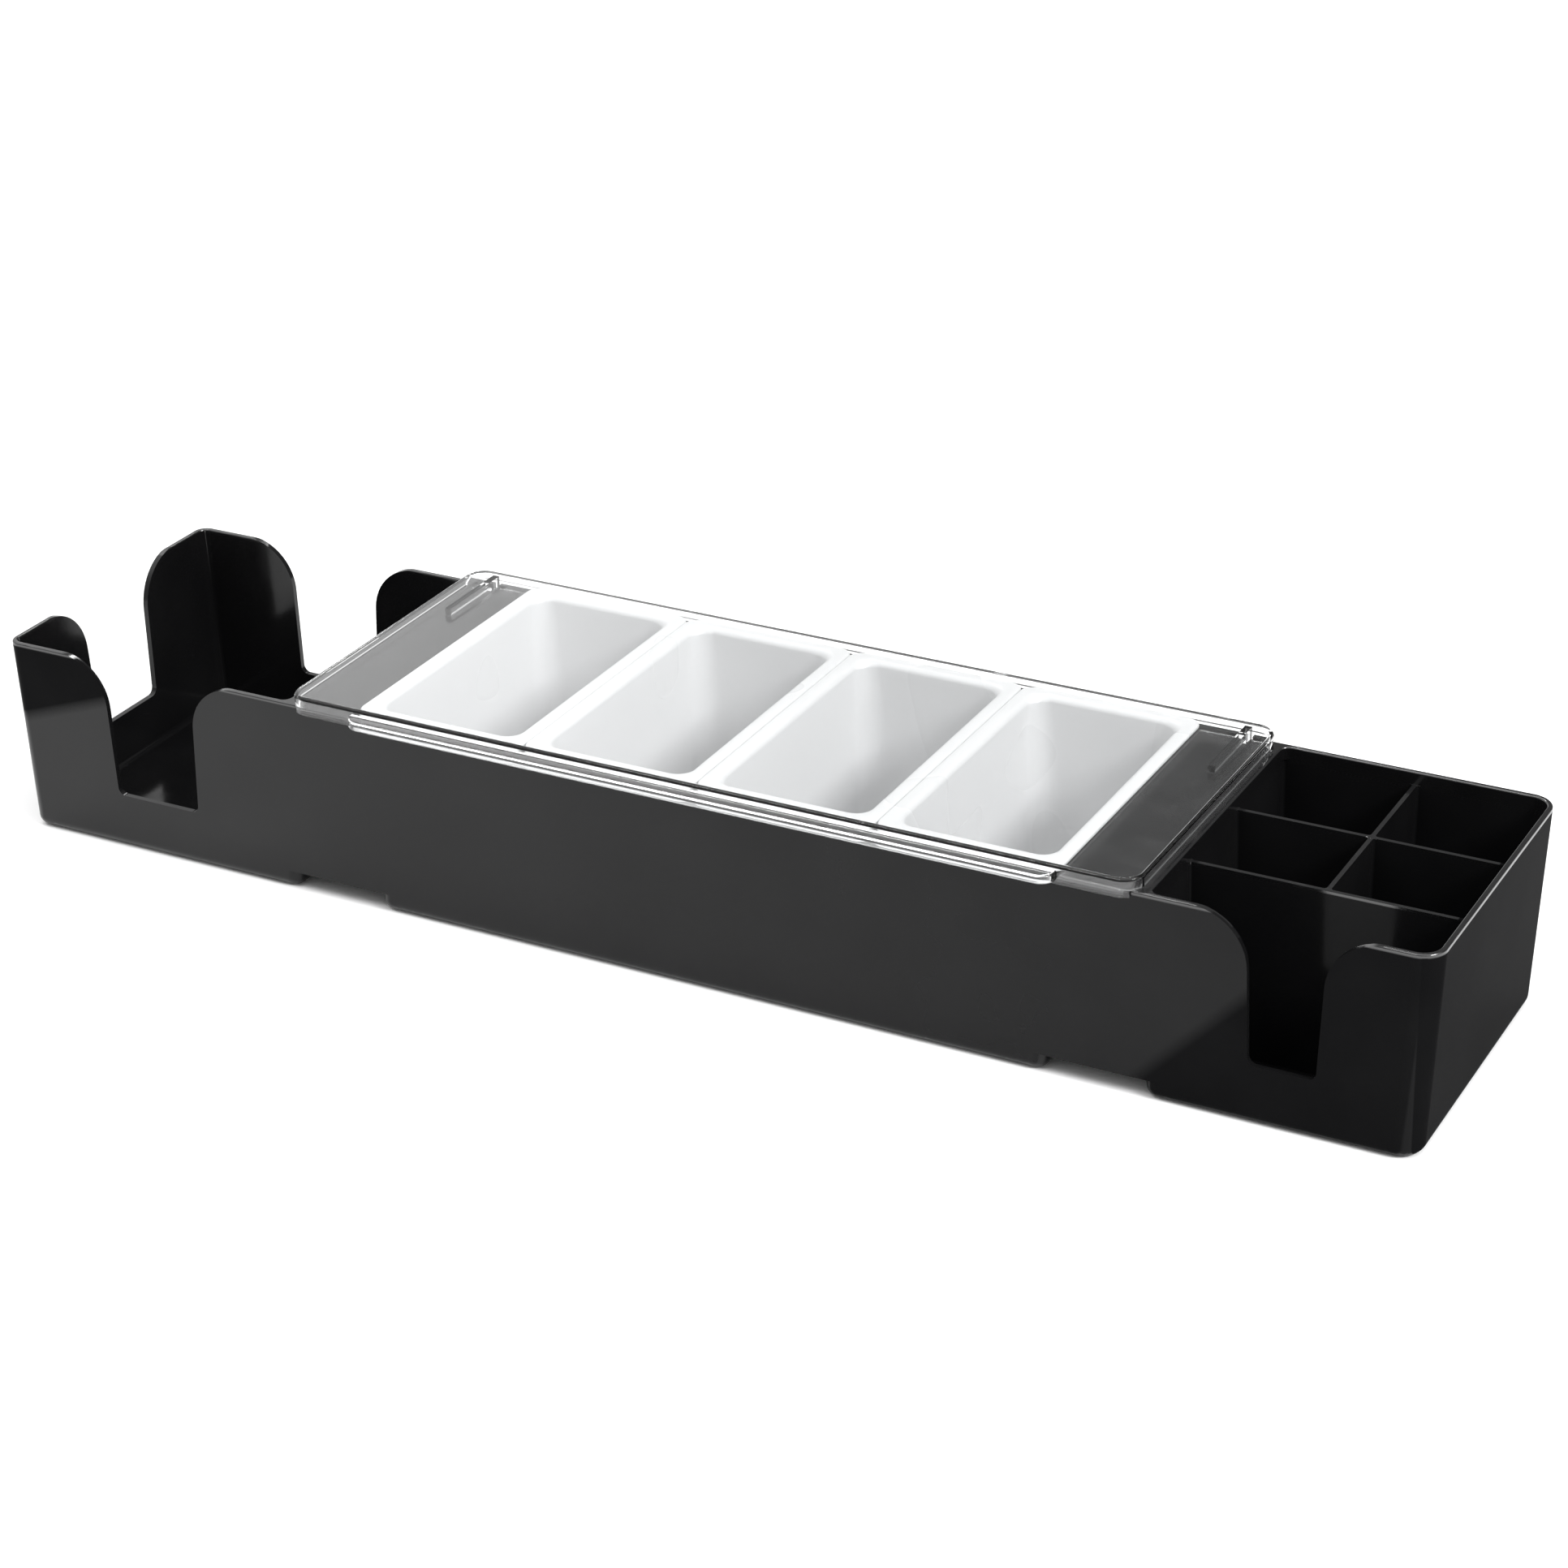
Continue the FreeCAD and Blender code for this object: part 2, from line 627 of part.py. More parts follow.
def add_grip(body):
    """Add the grip bar along the lid's front, with round ends."""
    grip = round_rectangle(
        body, "GripOutline", "plate_underside - grip_thickness",
        "middle_centre - grip_length / 2", "middle_centre + grip_length / 2",
        "-lid_half_depth - grip_reach", "-lid_half_depth + lid_wall / 2",
        ("grip_corner", "grip_corner", "lid_wall / 4", "lid_wall / 4"),
    )
    pad(body, "Grip", grip, "grip_thickness")
    face = value("-lid_half_depth")
    upper = value("plate_underside")
    lower = value("plate_underside - grip_thickness")
    outer = edges_where(body, lambda points: (level_at(points, upper) or level_at(points, lower))
                        and max(point.y for point in points) < face + 0.01
                        and min(point.y for point in points) < face - 0.05)
    fillet(body, "GripRound", outer, "grip_round")


def add_arms(body):
    """Add the two arms under the plate with the lugs and pins that the lid turns on."""
    for name, sign in (("West", "-"), ("East", "+")):
        centre = f"middle_centre {sign} arm_place"
        arm = rectangle(
            body, f"{name}ArmOutline", "XY_Plane", "lid_underside",
            f"{centre} - arm_width / 2", f"{centre} + arm_width / 2", "arm_front", "pin_y",
        )
        pad(body, f"{name}Arm", arm, "plate_underside - lid_underside + lid_plate / 2")
        lug = circle(body, f"{name}LugOutline", "YZ_Plane", centre, "pin_y", "pin_z", "lug_radius")
        pad(body, f"{name}Lug", lug, "arm_width", midplane=True)
        neck = rectangle(
            body, f"{name}NeckOutline", "YZ_Plane", centre,
            "pin_y - lug_radius", "pin_y + lug_radius", "pin_z", "plate_underside + lid_plate / 2",
        )
        pad(body, f"{name}Neck", neck, "arm_width", midplane=True)
        pin = circle(body, f"{name}PinOutline", "YZ_Plane", centre, "pin_y", "pin_z", "pin_diameter / 2")
        pad(body, f"{name}Pin", pin, "pin_length", midplane=True)


def make_lid():
    """Build the clear lid in one piece with its grip, arms and pins."""
    body = new_body("lid")
    add_lid_shell(body)
    add_grip(body)
    add_arms(body)
    return body


def check(parts):
    """Raise an error if any object failed or any part has no sound shape."""
    for item in doc.Objects:
        if "Invalid" in item.State or "Error" in item.State:
            raise RuntimeError(f"{item.Label} failed: {item.State}")
    for part in parts:
        shape = part.Shape
        if shape.isNull() or not shape.isValid() or len(shape.Solids) != 1:
            raise RuntimeError(f"{part.Label} has no single sound solid")


def write(parts):
    """Write each part to a file named after its label."""
    os.makedirs("parts", exist_ok=True)
    for part in parts:
        part.Shape.exportStep(f"parts/{part.Label}.step")
        box = part.Shape.BoundBox
        print(f"{part.Label}: {part.Shape.Volume / 1000:.1f} cm3, "
              f"{box.XLength:.1f} x {box.YLength:.1f} x {box.ZLength:.1f} mm")


fill_sheet()
PARTS = [make_tray()]
PARTS += [make_insert(number) for number in range(1, INSERT_COUNT + 1)]
PARTS.append(make_lid())
doc.recompute()
check(PARTS)
write(PARTS)
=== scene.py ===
"""Condiment and napkin holder: a black tray, four white inserts and a clear hinged lid on a white sweep."""
import logging
import math
from dataclasses import dataclass, field
from enum import Enum

import bpy
import numpy as np
from mathutils import Matrix, Vector


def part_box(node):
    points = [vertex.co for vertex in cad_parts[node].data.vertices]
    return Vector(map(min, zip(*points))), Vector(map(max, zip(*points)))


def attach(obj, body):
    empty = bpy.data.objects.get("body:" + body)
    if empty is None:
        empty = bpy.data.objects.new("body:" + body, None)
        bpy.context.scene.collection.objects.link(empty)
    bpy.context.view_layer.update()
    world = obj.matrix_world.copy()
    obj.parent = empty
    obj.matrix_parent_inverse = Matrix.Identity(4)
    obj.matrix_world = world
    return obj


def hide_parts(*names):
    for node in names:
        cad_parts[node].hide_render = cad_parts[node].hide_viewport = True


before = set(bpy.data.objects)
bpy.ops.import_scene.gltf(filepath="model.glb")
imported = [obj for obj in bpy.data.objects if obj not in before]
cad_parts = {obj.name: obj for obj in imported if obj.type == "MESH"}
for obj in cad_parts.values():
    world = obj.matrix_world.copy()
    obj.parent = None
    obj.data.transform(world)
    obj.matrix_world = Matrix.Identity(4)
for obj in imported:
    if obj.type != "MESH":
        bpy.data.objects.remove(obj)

LOG = logging.getLogger("condiment_holder")
MM = 0.001
INSERT_NUMBERS = range(1, 5)

Socket = bpy.types.NodeSocket
Triple = tuple[float, float, float]
Faces = list[tuple[int, ...]]


class Side(Enum):
    """The side of the lid that a small detail stands on, as its sign along Y."""

    FRONT = -1
    BACK = 1


class Ease(Enum):
    """How a mapped value moves from the start of its range to the end."""

    EVEN = "LINEAR"
    SOFT = "SMOOTHSTEP"


# Shader building


class NodeBench:
    """Adds nodes to one tree, with short calls for the kinds that the finishes and the surround share."""

    def __init__(self, tree: bpy.types.NodeTree) -> None:
        """Take the tree to work on.

        Args:
            tree: The node tree of a material or a world.
        """
        self.tree = tree

    def add(self, kind: str) -> bpy.types.Node:
        """Add a node.

        Args:
            kind: The node's type in Blender.

        Returns:
            The new node.
        """
        return self.tree.nodes.new(kind)

    def link(self, source: Socket, target: Socket) -> None:
        """Join two sockets.

        Args:
            source: The socket that gives the value.
            target: The socket that takes it.
        """
        self.tree.links.new(source, target)

    def spread(self, source: Socket, ends: tuple[float, float], results: tuple[float, float],
               ease: Ease = Ease.EVEN) -> Socket:
        """Return a value mapped from one range onto another and held inside it.

        Args:
            source: The value to map.
            ends: The start and the end of its range.
            results: What the start and the end become.
            ease: How it moves between them.

        Returns:
            The socket with the mapped value.
        """
        node = self.add("ShaderNodeMapRange")
        node.interpolation_type = ease.value
        for name, value in zip(("From Min", "From Max", "To Min", "To Max"), (*ends, *results)):
            node.inputs[name].default_value = value
        self.link(source, node.inputs["Value"])
        return node.outputs["Result"]

    def rise(self, source: Socket, start: float, end: float) -> Socket:
        """Return 0 before a range and 1 after it.

        Args:
            source: The value to test.
            start: The start of the range.
            end: The end of the range.

        Returns:
            The socket with the answer.
        """
        return self.spread(source, (start, end), (0.0, 1.0))

    def fall(self, source: Socket, start: float, end: float) -> Socket:
        """Return 1 before a range and 0 after it.

        Args:
            source: The value to test.
            start: The start of the range.
            end: The end of the range.

        Returns:
            The socket with the answer.
        """
        return self.spread(source, (start, end), (1.0, 0.0))

    def parts(self, source: Socket) -> tuple[Socket, ...]:
        """Return the three parts of a vector.

        Args:
            source: The vector.

        Returns:
            Its x, y and z.
        """
        node = self.add("ShaderNodeSeparateXYZ")
        self.link(source, node.inputs[0])
        return tuple(node.outputs)

    def constant(self, number: float) -> Socket:
        """Return a socket that holds a number.

        Args:
            number: The number.

        Returns:
            The socket.
        """
        node = self.add("ShaderNodeValue")
        node.outputs[0].default_value = number
        return node.outputs[0]

    def math(self, kind: str, first: Socket, second: Socket) -> Socket:
        """Return the result of one arithmetic step.

        Args:
            kind: The step's name in Blender.
            first: The first number.
            second: The second number.

        Returns:
            The socket with the result.
        """
        node = self.add("ShaderNodeMath")
        node.operation = kind
        self.link(first, node.inputs[0])
        self.link(second, node.inputs[1])
        return node.outputs[0]

    def sum(self, first: Socket, second: Socket) -> Socket:
        """Return the sum of two numbers.

        Args:
            first: The first number.
            second: The second number.

        Returns:
            The socket with the sum.
        """
        return self.math("ADD", first, second)

    def product(self, first: Socket, second: Socket) -> Socket:
        """Return the product of two numbers.

        Args:
            first: The first number.
            second: The second number.

        Returns:
            The socket with the product.
        """
        return self.math("MULTIPLY", first, second)

    def choose(self, share: Socket, first: Socket, second: Socket) -> Socket:
        """Return a number between two by a share.

        Args:
            share: 0 for the first number and 1 for the second.
            first: The first number.
            second: The second number.

        Returns:
            The socket with the mixed number.
        """
        node = self.add("ShaderNodeMix")
        for source, name in ((share, "Factor"), (first, "A"), (second, "B")):
            self.link(source, node.inputs[name])
        return node.outputs["Result"]


class MaterialBench(NodeBench):
    """Builds one material on a principled shader that reads object coordinates."""

    def __init__(self, name: str) -> None:
        """Start a material with an empty tree, a shader and an output.

        Args:
            name: The material's name.
        """
        self.material = bpy.data.materials.new(name)
        self.material.use_nodes = True
        super().__init__(self.material.node_tree)
        self.tree.nodes.clear()
        self.output = self.add("ShaderNodeOutputMaterial")
        self.shader = self.add("ShaderNodeBsdfPrincipled")
        self.link(self.shader.outputs["BSDF"], self.output.inputs["Surface"])
        self.place = self.add("ShaderNodeTexCoord").outputs["Object"]

    def set(self, **values: float | tuple[float, ...]) -> None:
        """Set sockets of the shader.

        Args:
            values: The values by socket name, with underscores for the spaces in it.
        """
        for name, value in values.items():
            self.shader.inputs[name.replace("_", " ")].default_value = value

    def drive(self, name: str, source: Socket) -> None:
        """Feed one of the shader's sockets.

        Args:
            name: The socket's name.
            source: What feeds it.
        """
        self.link(source, self.shader.inputs[name])

    def stretched(self, scale: Triple, turn: Triple) -> Socket:
        """Return object coordinates turned and stretched.

        Args:
            scale: The stretch along each axis.
            turn: The turn about each axis, in radians.

        Returns:
            The socket with the new coordinates.
        """
        node = self.add("ShaderNodeMapping")
        node.inputs["Scale"].default_value = scale
        node.inputs["Rotation"].default_value = turn
        self.link(self.place, node.inputs["Vector"])
        return node.outputs["Vector"]

    def noise(self, scale: float, detail: float, where: Socket | None = None) -> Socket:
        """Return a noise value.

        Args:
            scale: Cycles of the noise per metre.
            detail: How many finer octaves it holds.
            where: The coordinates that it reads, or none for the object's own.

        Returns:
            The socket with the noise, near 0 to 1.
        """
        node = self.add("ShaderNodeTexNoise")
        node.inputs["Scale"].default_value = scale
        node.inputs["Detail"].default_value = detail
        self.link(where or self.place, node.inputs["Vector"])
        return node.outputs["Fac"]

    def blend(self, share: Socket, first: tuple[float, ...], second: tuple[float, ...]) -> Socket:
        """Return a colour between two by a share.

        Args:
            share: 0 for the first colour and 1 for the second.
            first: The first colour.
            second: The second colour.

        Returns:
            The socket with the mixed colour.
        """
        node = self.add("ShaderNodeMix")
        node.data_type = "RGBA"
        node.inputs["A"].default_value = (*first, 1.0)
        node.inputs["B"].default_value = (*second, 1.0)
        self.link(share, node.inputs["Factor"])
        return node.outputs["Result"]

    def bump(self, height: Socket, depth: float, under: Socket | None = None) -> Socket:
        """Return a surface direction disturbed by a height.

        Args:
            height: The height, near 0 to 1.
            depth: How deep a height of 1 is, in metres.
            under: The direction that this one is laid over, if any.

        Returns:
            The socket with the new direction.
        """
        node = self.add("ShaderNodeBump")
        node.inputs["Strength"].default_value = 1.0
        node.inputs["Distance"].default_value = depth
        self.link(height, node.inputs["Height"])
        if under:
            self.link(under, node.inputs["Normal"])
        return node.outputs["Normal"]

    def pass_light(self, colour: Triple) -> None:
        """Let light through to what lies behind, where the surface would otherwise throw a full shade.

        Args:
            colour: How much of each colour passes.
        """
        clear = self.add("ShaderNodeBsdfTransparent")
        clear.inputs["Color"].default_value = (*colour, 1.0)
        choice = self.add("ShaderNodeMixShader")
        ray = self.add("ShaderNodeLightPath").outputs
        self.link(self.math("MAXIMUM", ray["Is Shadow Ray"], ray["Is Diffuse Ray"]), choice.inputs[0])
        self.link(self.shader.outputs["BSDF"], choice.inputs[1])
        self.link(clear.outputs["BSDF"], choice.inputs[2])
        self.link(choice.outputs[0], self.output.inputs["Surface"])


# Finishes


@dataclass(frozen=True)
class GlossBlack:
    """Polished black moulding plastic with the slow waves of cooling and a little handling haze.

    Places and depths are in metres, and scales are cycles per metre. The reflection strength is painted by
    place:
    painted highlights on the rims and dividers' tops, a painted reflection on the front wall and painted shade
    in the dull zones and on the end wall. A blur is the width over which one zone of painted reflection turns
    into the next, and for the two slanting borders of the front wall it is half of that width.
    """

    colour: Triple = (0.0045, 0.0045, 0.0048)
    worn_colour: Triple = (0.0065, 0.0065, 0.0068)
    wear_scale: float = 22.0
    wear_detail: float = 3.0
    wear_range: tuple[float, float] = (0.35, 0.7)
    polish: float = 0.1
    haze: float = 0.2
    haze_scale: float = 60.0
    haze_detail: float = 4.0
    haze_stretch: Triple = (1.0, 1.0, 0.4)
    haze_turn: Triple = (0.0, 0.3, 0.2)
    haze_range: tuple[float, float] = (0.4, 0.75)
    wave: float = 0.00035
    wave_scale: float = 9.0
    grain: float = 0.000004
    grain_scale: float = 420.0
    grain_detail: float = 2.0
    front_face: float = -0.0696
    end_face: float = 0.3135
    face_blur: float = 0.0004
    rim_height: float = 0.0868
    rim_blur: float = 0.0006
    # Painted highlights on the rims and dividers' tops, painted reflection inside, and painted shade in the
    # cells with their borders.
    painted_rim_highlight: float = 1.0
    painted_reflection_inside: float = 0.3
    painted_shade_cells: float = 0.07
    cells_start: float = 0.2
    cells_blur: float = 0.002
    cells_back: float = 0.0698
    divider_height: float = 0.0817
    # Painted reflection of the front wall from west to east, and the painted shade past its two slanting
    # borders.
    painted_reflection_west: float = 0.3
    painted_reflection_east: float = 0.145
    painted_reflection_between: tuple[float, float] = (-0.24, 0.22)
    painted_shade_level: float = 0.012
    painted_shade_end: float = 0.001
    painted_shade_slope: float = 0.95
    painted_shade_east: float = 0.196
    east_blur: float = 0.004
    post_slope: float = 0.36
    painted_shade_post: float = 0.1665
    post_blur: float = 0.003

    def material(self) -> bpy.types.Material:
        """Return the material.

        Colour and roughness drift with a soft noise, and two noises of different length bend the surface.

        Returns:
            The material.
        """
        bench = MaterialBench("gloss_black_plastic")
        bench.set(IOR=1.5)
        # Reflection strength painted by place: painted highlights, painted reflection and painted shade.
        bench.drive("Specular IOR Level", self.painted_reflection(bench))
        wear = bench.spread(bench.noise(self.wear_scale, self.wear_detail), self.wear_range, (0.0, 1.0))
        bench.drive("Base Color", bench.blend(wear, self.colour, self.worn_colour))
        long_way = bench.stretched(self.haze_stretch, self.haze_turn)
        smear = bench.noise(self.haze_scale, self.haze_detail, long_way)
        bench.drive("Roughness", bench.spread(smear, self.haze_range, (self.polish, self.haze)))
        slow = bench.bump(bench.noise(self.wave_scale, 0.0), self.wave)
        fine = bench.bump(bench.noise(self.grain_scale, self.grain_detail), self.grain, slow)
        bench.drive("Normal", fine)
        return bench.material

    def painted_reflection(self, bench: MaterialBench) -> Socket:
        """Return the painted strength of the plastic's reflection at each place: painted highlights, painted
        reflection and painted shade.

        The end wall has one low painted strength all over, a painted shade. The front wall has its own painted
        strength, and everything else has that of the inside. The zones of both walls stop under the rim.

        Args:
            bench: The material that is being built.

        Returns:
            The socket with the strength.
        """
        x, y, z = bench.parts(bench.place)
        below_rim = bench.fall(z, self.rim_height - self.rim_blur, self.rim_height)
        front_side = bench.fall(y, self.front_face - self.face_blur, self.front_face)
        end_side = bench.rise(x, self.end_face - self.face_blur, self.end_face)
        # Painted shade on the end wall; painted reflection and shade zones on the front wall and inside.
        walls = bench.choose(bench.product(front_side, below_rim), self.inside_painted_reflection(bench, x, y, z),
                             self.front_painted_reflection(bench, x, z))
        return bench.choose(bench.product(end_side, below_rim), walls, bench.constant(self.painted_shade_end))

    def front_painted_reflection(self, bench: MaterialBench, x: Socket, z: Socket) -> Socket:
        """Return the painted reflection strength of the front wall, a painted reflection that falls evenly
        from west to east.

        It is painted in shade past two slanting borders: one is where x less a slope times z is a set value,
        the other where z less a slope times x is.

        Args:
            bench: The material that is being built.
            x: The place along the row.
            z: The height.

        Returns:
            The socket with the strength.
        """
        east = bench.sum(x, bench.product(z, bench.constant(-self.painted_shade_slope)))
        post = bench.sum(z, bench.product(x, bench.constant(-self.post_slope)))
        # Painted shade past the two slanting borders; elsewhere a painted reflection that falls from west to
        # east.
        outside_painted_shade = bench.product(
            bench.fall(post, self.painted_shade_post - self.post_blur, self.painted_shade_post + self.post_blur),
            bench.fall(east, self.painted_shade_east - self.east_blur, self.painted_shade_east + self.east_blur))
        added = (self.painted_reflection_west - self.painted_shade_level, self.painted_reflection_east - self.painted_shade_level)
        along = bench.spread(x, self.painted_reflection_between, added)
        return bench.sum(bench.product(outside_painted_shade, along), bench.constant(self.painted_shade_level))

    def inside_painted_reflection(self, bench: MaterialBench, x: Socket, y: Socket, z: Socket) -> Socket:
        """Return the painted reflection strength of the inside, with painted highlights on its rims and
        dividers' tops and painted shade in its cells.

        Args:
            bench: The material that is being built.
            x: The place along the row.
            y: The place from front to back.
            z: The height.

        Returns:
            The socket with the strength.
        """
        cells = bench.product(bench.rise(x, self.cells_start - self.cells_blur, self.cells_start),
                              bench.fall(y, self.cells_back - self.face_blur, self.cells_back))
        tops = bench.rise(z, self.divider_height - self.face_blur, self.divider_height)
        rim = bench.rise(z, self.rim_height - self.face_blur, self.rim_height)
        # Painted highlights on the rims and the dividers' tops, and painted shade on the cells' walls.
        high = bench.math("MAXIMUM", rim, bench.product(cells, tops))
        walls = bench.choose(cells, bench.constant(self.painted_reflection_inside), bench.constant(self.painted_shade_cells))
        return bench.choose(high, walls, bench.constant(self.painted_rim_highlight))


@dataclass(frozen=True)
class SatinWhite:
    """Thin-walled neutral white plastic, as on kitchen inserts.

    The depth is in metres, and scales are cycles per metre.
    """

    colour: Triple = (0.695, 0.695, 0.7)
    shade_colour: Triple = (0.68, 0.68, 0.686)
    roughness: tuple[float, float] = (0.26, 0.34)
    noise_range: tuple[float, float] = (0.2, 0.8)
    cloud_scale: float = 16.0
    soft_scale: float = 25.0
    wave: float = 0.000008
    wave_scale: float = 40.0

    def material(self) -> bpy.types.Material:
        """Return the material, with a faint cloud in its colour, a soft one in its polish and slight waves.

        Returns:
            The material.
        """
        bench = MaterialBench("satin_white_plastic")
        bench.set(IOR=1.49)
        cloud = bench.spread(bench.noise(self.cloud_scale, 0.0), self.noise_range, (0.0, 1.0))
        bench.drive("Base Color", bench.blend(cloud, self.colour, self.shade_colour))
        soft = bench.noise(self.soft_scale, 0.0)
        bench.drive("Roughness", bench.spread(soft, self.noise_range, self.roughness))
        bench.drive("Normal", bench.bump(bench.noise(self.wave_scale, 0.0), self.wave))
        return bench.material


@dataclass(frozen=True)
class ClearPlastic:
    """Clear polished plastic with faint rubbing marks.

    The depth is in metres, and scales are cycles per metre.
    """

    tint: Triple = (0.985, 0.99, 0.99)
    index: float = 1.49
    passed: Triple = (0.965, 0.97, 0.97)
    rub_stretch: Triple = (1.0, 14.0, 1.0)
    rub_turn: Triple = (0.0, 0.0, 0.35)
    rub_scale: float = 55.0
    rub_detail: float = 6.0
    rub_range: tuple[float, float] = (0.7, 0.82)
    rub_roughness: float = 0.012
    wave: float = 0.00001
    wave_scale: float = 14.0
    wave_detail: float = 1.0

    def material(self) -> bpy.types.Material:
        """Return the material, clear all through, with long faint rubs in its polish.

        Light that falls through the lid on its way to a surface is let through almost whole, without bending,
        since a flat sheet hardly turns it.

        Returns:
            The material.
        """
        bench = MaterialBench("clear_lid_plastic")
        bench.set(Base_Color=(*self.tint, 1.0), IOR=self.index, Transmission_Weight=1.0)
        rub = bench.noise(self.rub_scale, self.rub_detail, bench.stretched(self.rub_stretch, self.rub_turn))
        bench.drive("Roughness", bench.spread(rub, self.rub_range, (0.0, self.rub_roughness)))
        bench.drive("Normal", bench.bump(bench.noise(self.wave_scale, self.wave_detail), self.wave))
        bench.pass_light(self.passed)
        return bench.material


@dataclass(frozen=True)
class PaleSweep:
    """The matt white sweep that the holder stands on."""

    colour: Triple = (0.93, 0.93, 0.93)
    lift: float = 1.01
    roughness: float = 0.9
    shine: float = 0.1
    cloud_scale: float = 3.0
    cloud_detail: float = 2.0

    def material(self) -> bpy.types.Material:
        """Return the material, with a trace of unevenness.

        Returns:
            The material.
        """
        bench = MaterialBench("pale_sweep")
        bench.set(Roughness=self.roughness, Specular_IOR_Level=self.shine)
        lighter = tuple(min(1.0, part * self.lift) for part in self.colour)
        cloud = bench.noise(self.cloud_scale, self.cloud_detail)
        bench.drive("Base Color", bench.blend(cloud, self.colour, lighter))
        return bench.material


# Mesh building


def mesh_object(name: str, points: np.ndarray, faces: Faces,
                material: bpy.types.Material) -> bpy.types.Object:
    """Return a smooth mesh object at the origin.

    Args:
        name: The piece's name.
        points: Its vertices in metres, one row each.
        faces: Its faces as vertex numbers.
        material: What it is made of.

    Returns:
        The new object, already in the scene.
    """
    mesh = bpy.data.meshes.new(name)
    mesh.from_pydata(points.reshape(-1, 3).tolist(), [], faces)
    mesh.validate()
    mesh.polygons.foreach_set("use_smooth", np.ones(len(mesh.polygons), bool))
    mesh.materials.append(material)
    piece = bpy.data.objects.new(name, mesh)
    bpy.context.scene.collection.objects.link(piece)
    return piece


def ring_faces(rings: int, around: int) -> Faces:
    """Return the faces of a stack of closed rings, with its first and last ring filled.

    Face (i, j) joins points j and j + 1 of ring i to the same points of ring i + 1.

    Args:
        rings: How many rings there are.
        around: How many points each has.

    Returns:
        The faces as vertex numbers, outward for rings that run anticlockwise and climb.
    """
    row, column = np.meshgrid(np.arange(rings - 1), np.arange(around), indexing="ij")
    after = (column + 1) % around
    quads = np.stack([row * around + column, row * around + after,
                      (row + 1) * around + after, (row + 1) * around + column], -1)
    faces = [tuple(quad) for quad in quads.reshape(-1, 4).tolist()]
    faces.append(tuple(range(around))[::-1])
    faces.append(tuple(range((rings - 1) * around, rings * around)))
    return faces


def quarter(centre: tuple[float, float], radius: float, start: float, end: float, steps: int) -> np.ndarray:
    """Return points on an arc of a profile.

    Point k stands at the centre plus the radius times (cos, sin) of an angle that runs evenly
    from start to end, in degrees.

    Args:
        centre: The arc's centre as (inset, height).
        radius: Its radius.
        start: The first angle.
        end: The last angle.
        steps: How many points there are, less one.

    Returns:
        The points, one row each.
    """
    angle = np.radians(np.linspace(start, end, steps + 1))
    return np.stack([centre[0] + radius * np.cos(angle), centre[1] + radius * np.sin(angle)], -1)


def straight(first: tuple[float, float], last: tuple[float, float], count: int) -> np.ndarray:
    """Return evenly spaced points on a straight stretch of a profile, without its first point.

    Args:
        first: The stretch's start as (inset, height).
        last: Its end.
        count: How many points it has with the first one.

    Returns:
        The points, one row each.
    """
    return np.linspace(first, last, count)[1:]


def rounded_rings(half_x: np.ndarray, half_y: np.ndarray, radius: np.ndarray,
                  corner_steps: int, side_steps: int) -> np.ndarray:
    """Return rounded rectangles as rings of points, one ring for each entry.

    A ring starts at the east end of its north-east corner and runs anticlockwise. Each corner is a quarter
    circle of its radius round a centre that stands in from both sides by that radius, and each side is
    divided evenly between its corners.

    Args:
        half_x: Half of each ring's length.
        half_y: Half of its width.
        radius: Its corner radius.
        corner_steps: Divisions of a corner.
        side_steps: Divisions of half a side.

    Returns:
        An array of rings by points by two coordinates.
    """
    signs = np.array([(1, 1), (-1, 1), (-1, -1), (1, -1)], float)
    half = np.stack([half_x, half_y], -1)[:, None, None, :]
    centre = (half - radius[:, None, None, None]) * signs[None, :, None, :]
    angle = np.radians(np.arange(4)[:, None] * 90.0 + np.linspace(0.0, 90.0, corner_steps + 1)[None, :])
    corner = centre + radius[:, None, None, None] * np.stack([np.cos(angle), np.sin(angle)], -1)[None]
    after = np.roll(corner, -1, axis=1)[:, :, :1]
    share = np.linspace(0.0, 1.0, 2 * side_steps + 1)[1:-1][None, None, :, None]
    side = corner[:, :, -1:] * (1.0 - share) + after * share
    return np.concatenate([corner, side], axis=2).reshape(len(radius), -1, 2)


# The tray


@dataclass(frozen=True)
class EasedEdges:
    """How a CAD node's facets are merged and its sharp edges rounded: metres and radians."""

    width: float
    sharp: float = math.radians(38.0)
    weld: float = 0.01 * MM
    segments: int = 2
    weight: int = 100

    def dress(self, node: bpy.types.Object, material: bpy.types.Material) -> None:
        """Give a CAD node its material, smooth faces and eased edges, and let its large faces set the shading.

        Args:
            node: The CAD node.
            material: What it is made of.
        """
        node.data.materials.clear()
        node.data.materials.append(material)
        node.data.polygons.foreach_set("use_smooth", np.ones(len(node.data.polygons), bool))
        weld = node.modifiers.new("weld", "WELD")
        weld.merge_threshold = self.weld
        bevel = node.modifiers.new("ease", "BEVEL")
        bevel.width = self.width
        bevel.segments = self.segments
        bevel.limit_method = "ANGLE"
        bevel.angle_limit = self.sharp
        node.modifiers.new("flatten", "WEIGHTED_NORMAL").weight = self.weight


@dataclass
class Tray:
    """The black one-piece tray, which keeps its CAD shape and gets its finish and eased edges."""

    finish: GlossBlack = field(default_factory=GlossBlack)
    edges: EasedEdges = EasedEdges(0.3 * MM)

    def dress(self) -> bpy.types.Object:
        """Give the CAD tray its material and eased edges.

        Returns:
            The dressed node.
        """
        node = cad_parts["caddy_tray"]
        self.edges.dress(node, self.finish.material())
        return node


# The inserts


